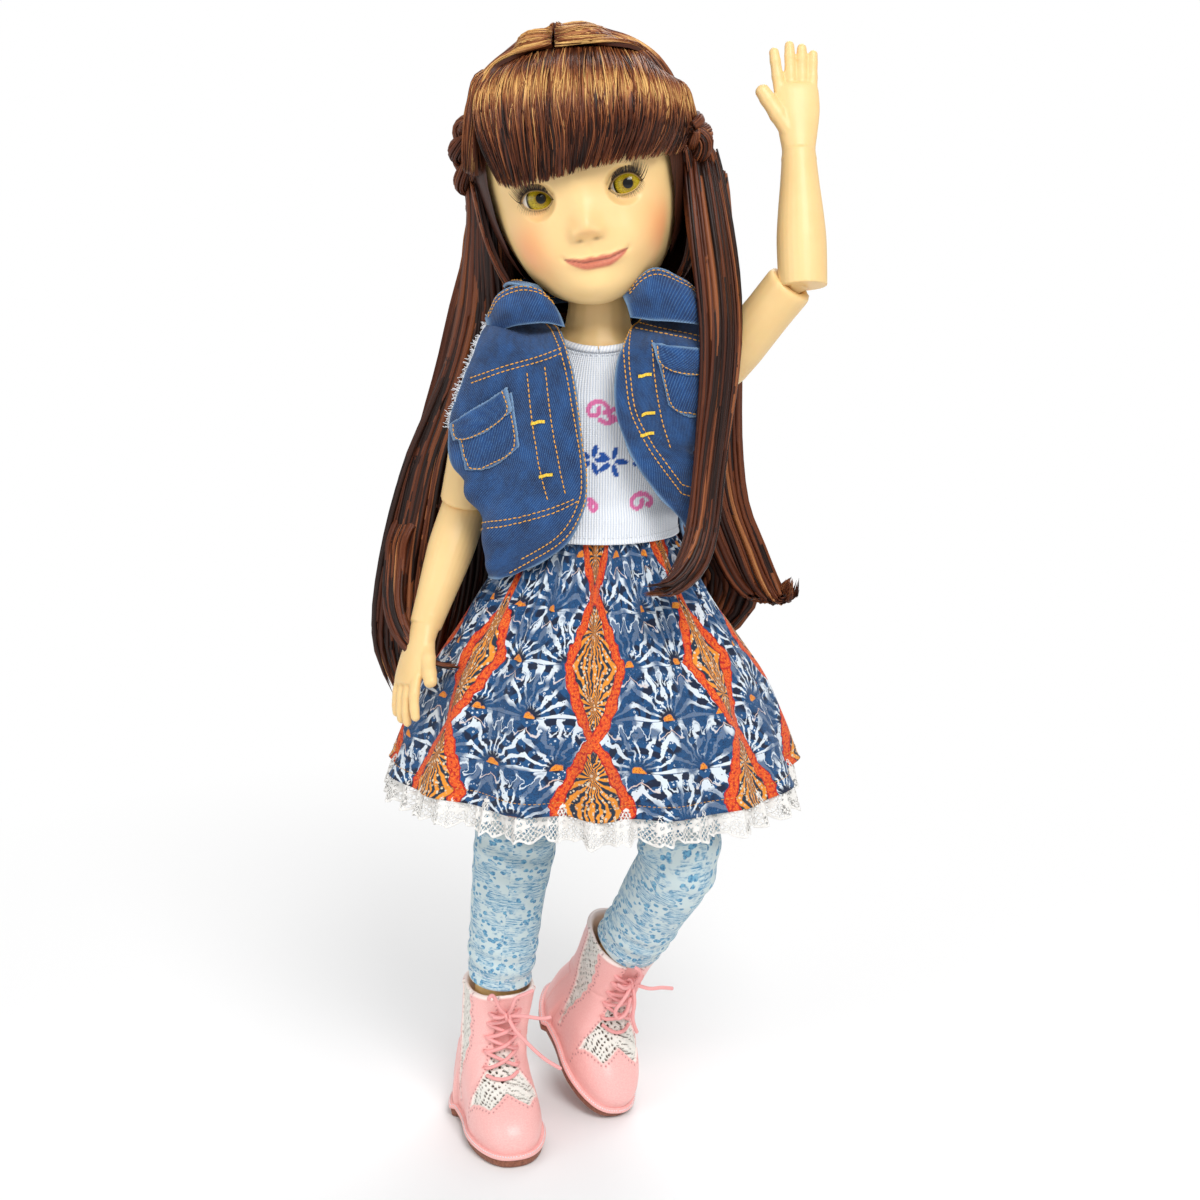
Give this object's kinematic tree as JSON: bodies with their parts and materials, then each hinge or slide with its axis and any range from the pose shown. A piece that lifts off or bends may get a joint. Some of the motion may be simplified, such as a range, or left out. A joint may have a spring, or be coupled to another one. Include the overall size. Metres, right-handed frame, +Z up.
{
  "type": "fashion doll",
  "caption": "Jointed vinyl fashion doll with long hair, dressed in a vest, top, skirt, leggings and laced boots, standing with one hand raised.",
  "frame": {"origin": "on the floor under the middle of the bounding box", "axes": "+Z up, the doll faces -Y and her left side is +X"},
  "size_m": [0.1456, 0.1042, 0.3706],
  "materials": {
    "vinyl": "satin skin-coloured vinyl",
    "joint_plastic": "satin skin-coloured plastic",
    "steel": "brushed",
    "eye": "glossy acrylic",
    "hair": "fine glossy fibre",
    "knit": "ribbed knit",
    "denim": "twill denim with gold stitching",
    "printed_cotton": "printed plain weave",
    "lace": "open lace",
    "legging": "printed jersey",
    "boot_leather": "punched soft leather",
    "sole": "matte",
    "cord": "round cord"
  },
  "bodies": {
    "torso": {"torso_front": "vinyl", "torso_back": "vinyl", "tank_top": "knit", "skirt": "printed_cotton", "skirt_lace": "lace", "leggings_top": "legging", "vest_right_front": "denim", "vest_left_front": "denim", "vest_back": "denim", "vest_collar": "denim", "hair_back": "hair", "hair_right_fall": "hair", "hair_left_lock": "hair"},
    "neck": {"neck_post": "joint_plastic"},
    "neck_ball": {"neck_ball": "joint_plastic"},
    "head": {"head_shell": "vinyl", "hair_cap": "hair", "fringe": "hair", "crown_braid": "hair", "left_eye": "eye", "right_eye": "eye"},
    "left_shoulder": {"left_shoulder_ball": "joint_plastic", "left_shoulder_pin": "steel"},
    "left_upper_arm": {"left_upper_arm": "vinyl"},
    "left_elbow": {"left_elbow_insert": "joint_plastic", "left_elbow_pin": "steel"},
    "left_forearm": {"left_forearm": "vinyl"},
    "left_hip": {"left_hip_ball": "joint_plastic"},
    "left_hip_peg": {"left_hip_peg": "joint_plastic"},
    "left_thigh": {"left_thigh": "vinyl", "left_legging_thigh": "legging", "left_knee_pin": "steel"},
    "left_shin": {"left_shin": "vinyl", "left_legging_shin": "legging", "left_ankle_pin": "steel"},
    "left_foot": {"left_foot": "vinyl", "left_boot_sole": "sole", "left_boot_upper": "boot_leather", "left_boot_laces": "cord"},
    "right_shoulder": {"right_shoulder_ball": "joint_plastic", "right_shoulder_pin": "steel"},
    "right_upper_arm": {"right_upper_arm": "vinyl"},
    "right_elbow": {"right_elbow_insert": "joint_plastic", "right_elbow_pin": "steel"},
    "right_forearm": {"right_forearm": "vinyl"},
    "right_hip": {"right_hip_ball": "joint_plastic"},
    "right_hip_peg": {"right_hip_peg": "joint_plastic"},
    "right_thigh": {"right_thigh": "vinyl", "right_legging_thigh": "legging", "right_knee_pin": "steel"},
    "right_shin": {"right_shin": "vinyl", "right_legging_shin": "legging", "right_ankle_pin": "steel"},
    "right_foot": {"right_foot": "vinyl", "right_boot_sole": "sole", "right_boot_upper": "boot_leather", "right_boot_laces": "cord"}
  },
  "joints": [
    {"name": "head_turn", "type": "hinge", "parent": "torso", "child": "neck", "pos_m": [0.0012, -0.00246, 0.17676], "axis": [0.0122, -0.0523, 0.9986], "range_deg": [-77, 83], "deforming": ["hair_back", "hair_right_fall", "hair_left_lock"]},
    {"name": "head_nod", "type": "hinge", "parent": "neck", "child": "neck_ball", "pos_m": [0.00269, -0.00882, 0.29818], "axis": [0.9985, -0.0523, -0.0149], "range_deg": [-3, 9]},
    {"name": "head_tilt", "type": "hinge", "parent": "neck_ball", "child": "head", "pos_m": [0.00269, -0.00882, 0.29818], "axis": [-0.0523, -0.9986, 0.0007], "range_deg": [-24.5, 1.5], "deforming": ["vest_collar"]},
    {"name": "left_arm_swing", "type": "hinge", "parent": "torso", "child": "left_shoulder", "pos_m": [0.03823, -0.00688, 0.2606], "axis": [-0.9999, 0, 0.0122], "range_deg": [-208, 17], "deforming": ["vest_left_front", "vest_back"]},
    {"name": "left_arm_spread", "type": "hinge", "parent": "left_shoulder", "child": "left_upper_arm", "pos_m": [0.03823, -0.00688, 0.2606], "axis": [0.0042, 0.9397, 0.342], "range_deg": [-13.9, 51.1]},
    {"name": "left_elbow_swivel", "type": "hinge", "parent": "left_upper_arm", "child": "left_elbow", "pos_m": [0.06517, -0.02036, 0.29732], "axis": [-0.5672, 0.2839, -0.7731], "range_deg": [-50.4, 129.6]},
    {"name": "left_elbow_bend", "type": "hinge", "parent": "left_elbow", "child": "left_forearm", "pos_m": [0.06517, -0.02036, 0.29732], "axis": [-0.6372, -0.746, 0.1936], "range_deg": [-49.4, 18.6]},
    {"name": "left_leg_swing", "type": "hinge", "parent": "torso", "child": "left_hip", "pos_m": [0.0204, -0.00246, 0.17652], "axis": [-0.9999, 0, 0.0122], "range_deg": [-19.5, 4.5], "deforming": ["skirt", "skirt_lace", "leggings_top"]},
    {"name": "left_leg_spread", "type": "hinge", "parent": "left_hip", "child": "left_hip_peg", "pos_m": [0.0204, -0.00246, 0.17652], "axis": [0.0018, -0.989, 0.1478], "range_deg": [-3.4, 7.6]},
    {"name": "left_leg_turn", "type": "hinge", "parent": "left_hip_peg", "child": "left_thigh", "pos_m": [0.0204, -0.00246, 0.17652], "axis": [-0.1341, 0.1462, 0.9801], "range_deg": [-46, 2], "deforming": ["left_legging_thigh"]},
    {"name": "left_knee_bend", "type": "hinge", "parent": "left_thigh", "child": "left_shin", "pos_m": [0.03059, -0.01357, 0.10204], "axis": [0.7798, 0.6259, 0.0133], "range_deg": [-46.9, 15.1], "deforming": ["left_legging_shin"]},
    {"name": "left_ankle_bend", "type": "hinge", "parent": "left_shin", "child": "left_foot", "pos_m": [0.00291, 0.02226, 0.03852], "axis": [0.7798, 0.6259, 0.0133], "range_deg": [-2, 14], "deforming": ["left_boot_upper"]},
    {"name": "right_arm_swing", "type": "hinge", "parent": "torso", "child": "right_shoulder", "pos_m": [-0.03376, -0.00688, 0.26148], "axis": [-0.9999, 0, 0.0122], "range_deg": [-40.8, 164.2], "deforming": ["vest_right_front"]},
    {"name": "right_arm_spread", "type": "hinge", "parent": "right_shoulder", "child": "right_upper_arm", "pos_m": [-0.03376, -0.00688, 0.26148], "axis": [0.0015, 0.9921, 0.1253], "range_deg": [-8.1, 74.9]},
    {"name": "right_elbow_swivel", "type": "hinge", "parent": "right_upper_arm", "child": "right_elbow", "pos_m": [-0.04266, -0.00101, 0.21519], "axis": [-0.1873, 0.1234, -0.9745], "range_deg": [-34.8, 75.2]},
    {"name": "right_elbow_bend", "type": "hinge", "parent": "right_elbow", "child": "right_forearm", "pos_m": [-0.04266, -0.00101, 0.21519], "axis": [-0.9493, 0.2322, 0.2118], "range_deg": [-32.2, 35.8]},
    {"name": "right_leg_swing", "type": "hinge", "parent": "torso", "child": "right_hip", "pos_m": [-0.018, -0.00246, 0.17699], "axis": [-0.9999, 0, 0.0122], "range_deg": [-5.5, 11.5]},
    {"name": "right_leg_spread", "type": "hinge", "parent": "right_hip", "child": "right_hip_peg", "pos_m": [-0.018, -0.00246, 0.17699], "axis": [0.0003, 0.9997, 0.0262], "range_deg": [-0.7, 10.3]},
    {"name": "right_leg_turn", "type": "hinge", "parent": "right_hip_peg", "child": "right_thigh", "pos_m": [-0.018, -0.00246, 0.17699], "axis": [-0.1115, 0.026, -0.9934], "range_deg": [-8, 10], "deforming": ["right_legging_thigh"]},
    {"name": "right_knee_bend", "type": "hinge", "parent": "right_thigh", "child": "right_shin", "pos_m": [-0.02647, -0.00048, 0.10149], "axis": [0.9938, 0.0026, -0.1114], "range_deg": [0, 15], "deforming": ["right_legging_shin"]},
    {"name": "right_ankle_bend", "type": "hinge", "parent": "right_shin", "child": "right_foot", "pos_m": [-0.03516, 0.00155, 0.02401], "axis": [0.9938, 0.0026, -0.1114], "range_deg": [-6.5, 9.5], "deforming": ["right_boot_upper"]}
  ]
}
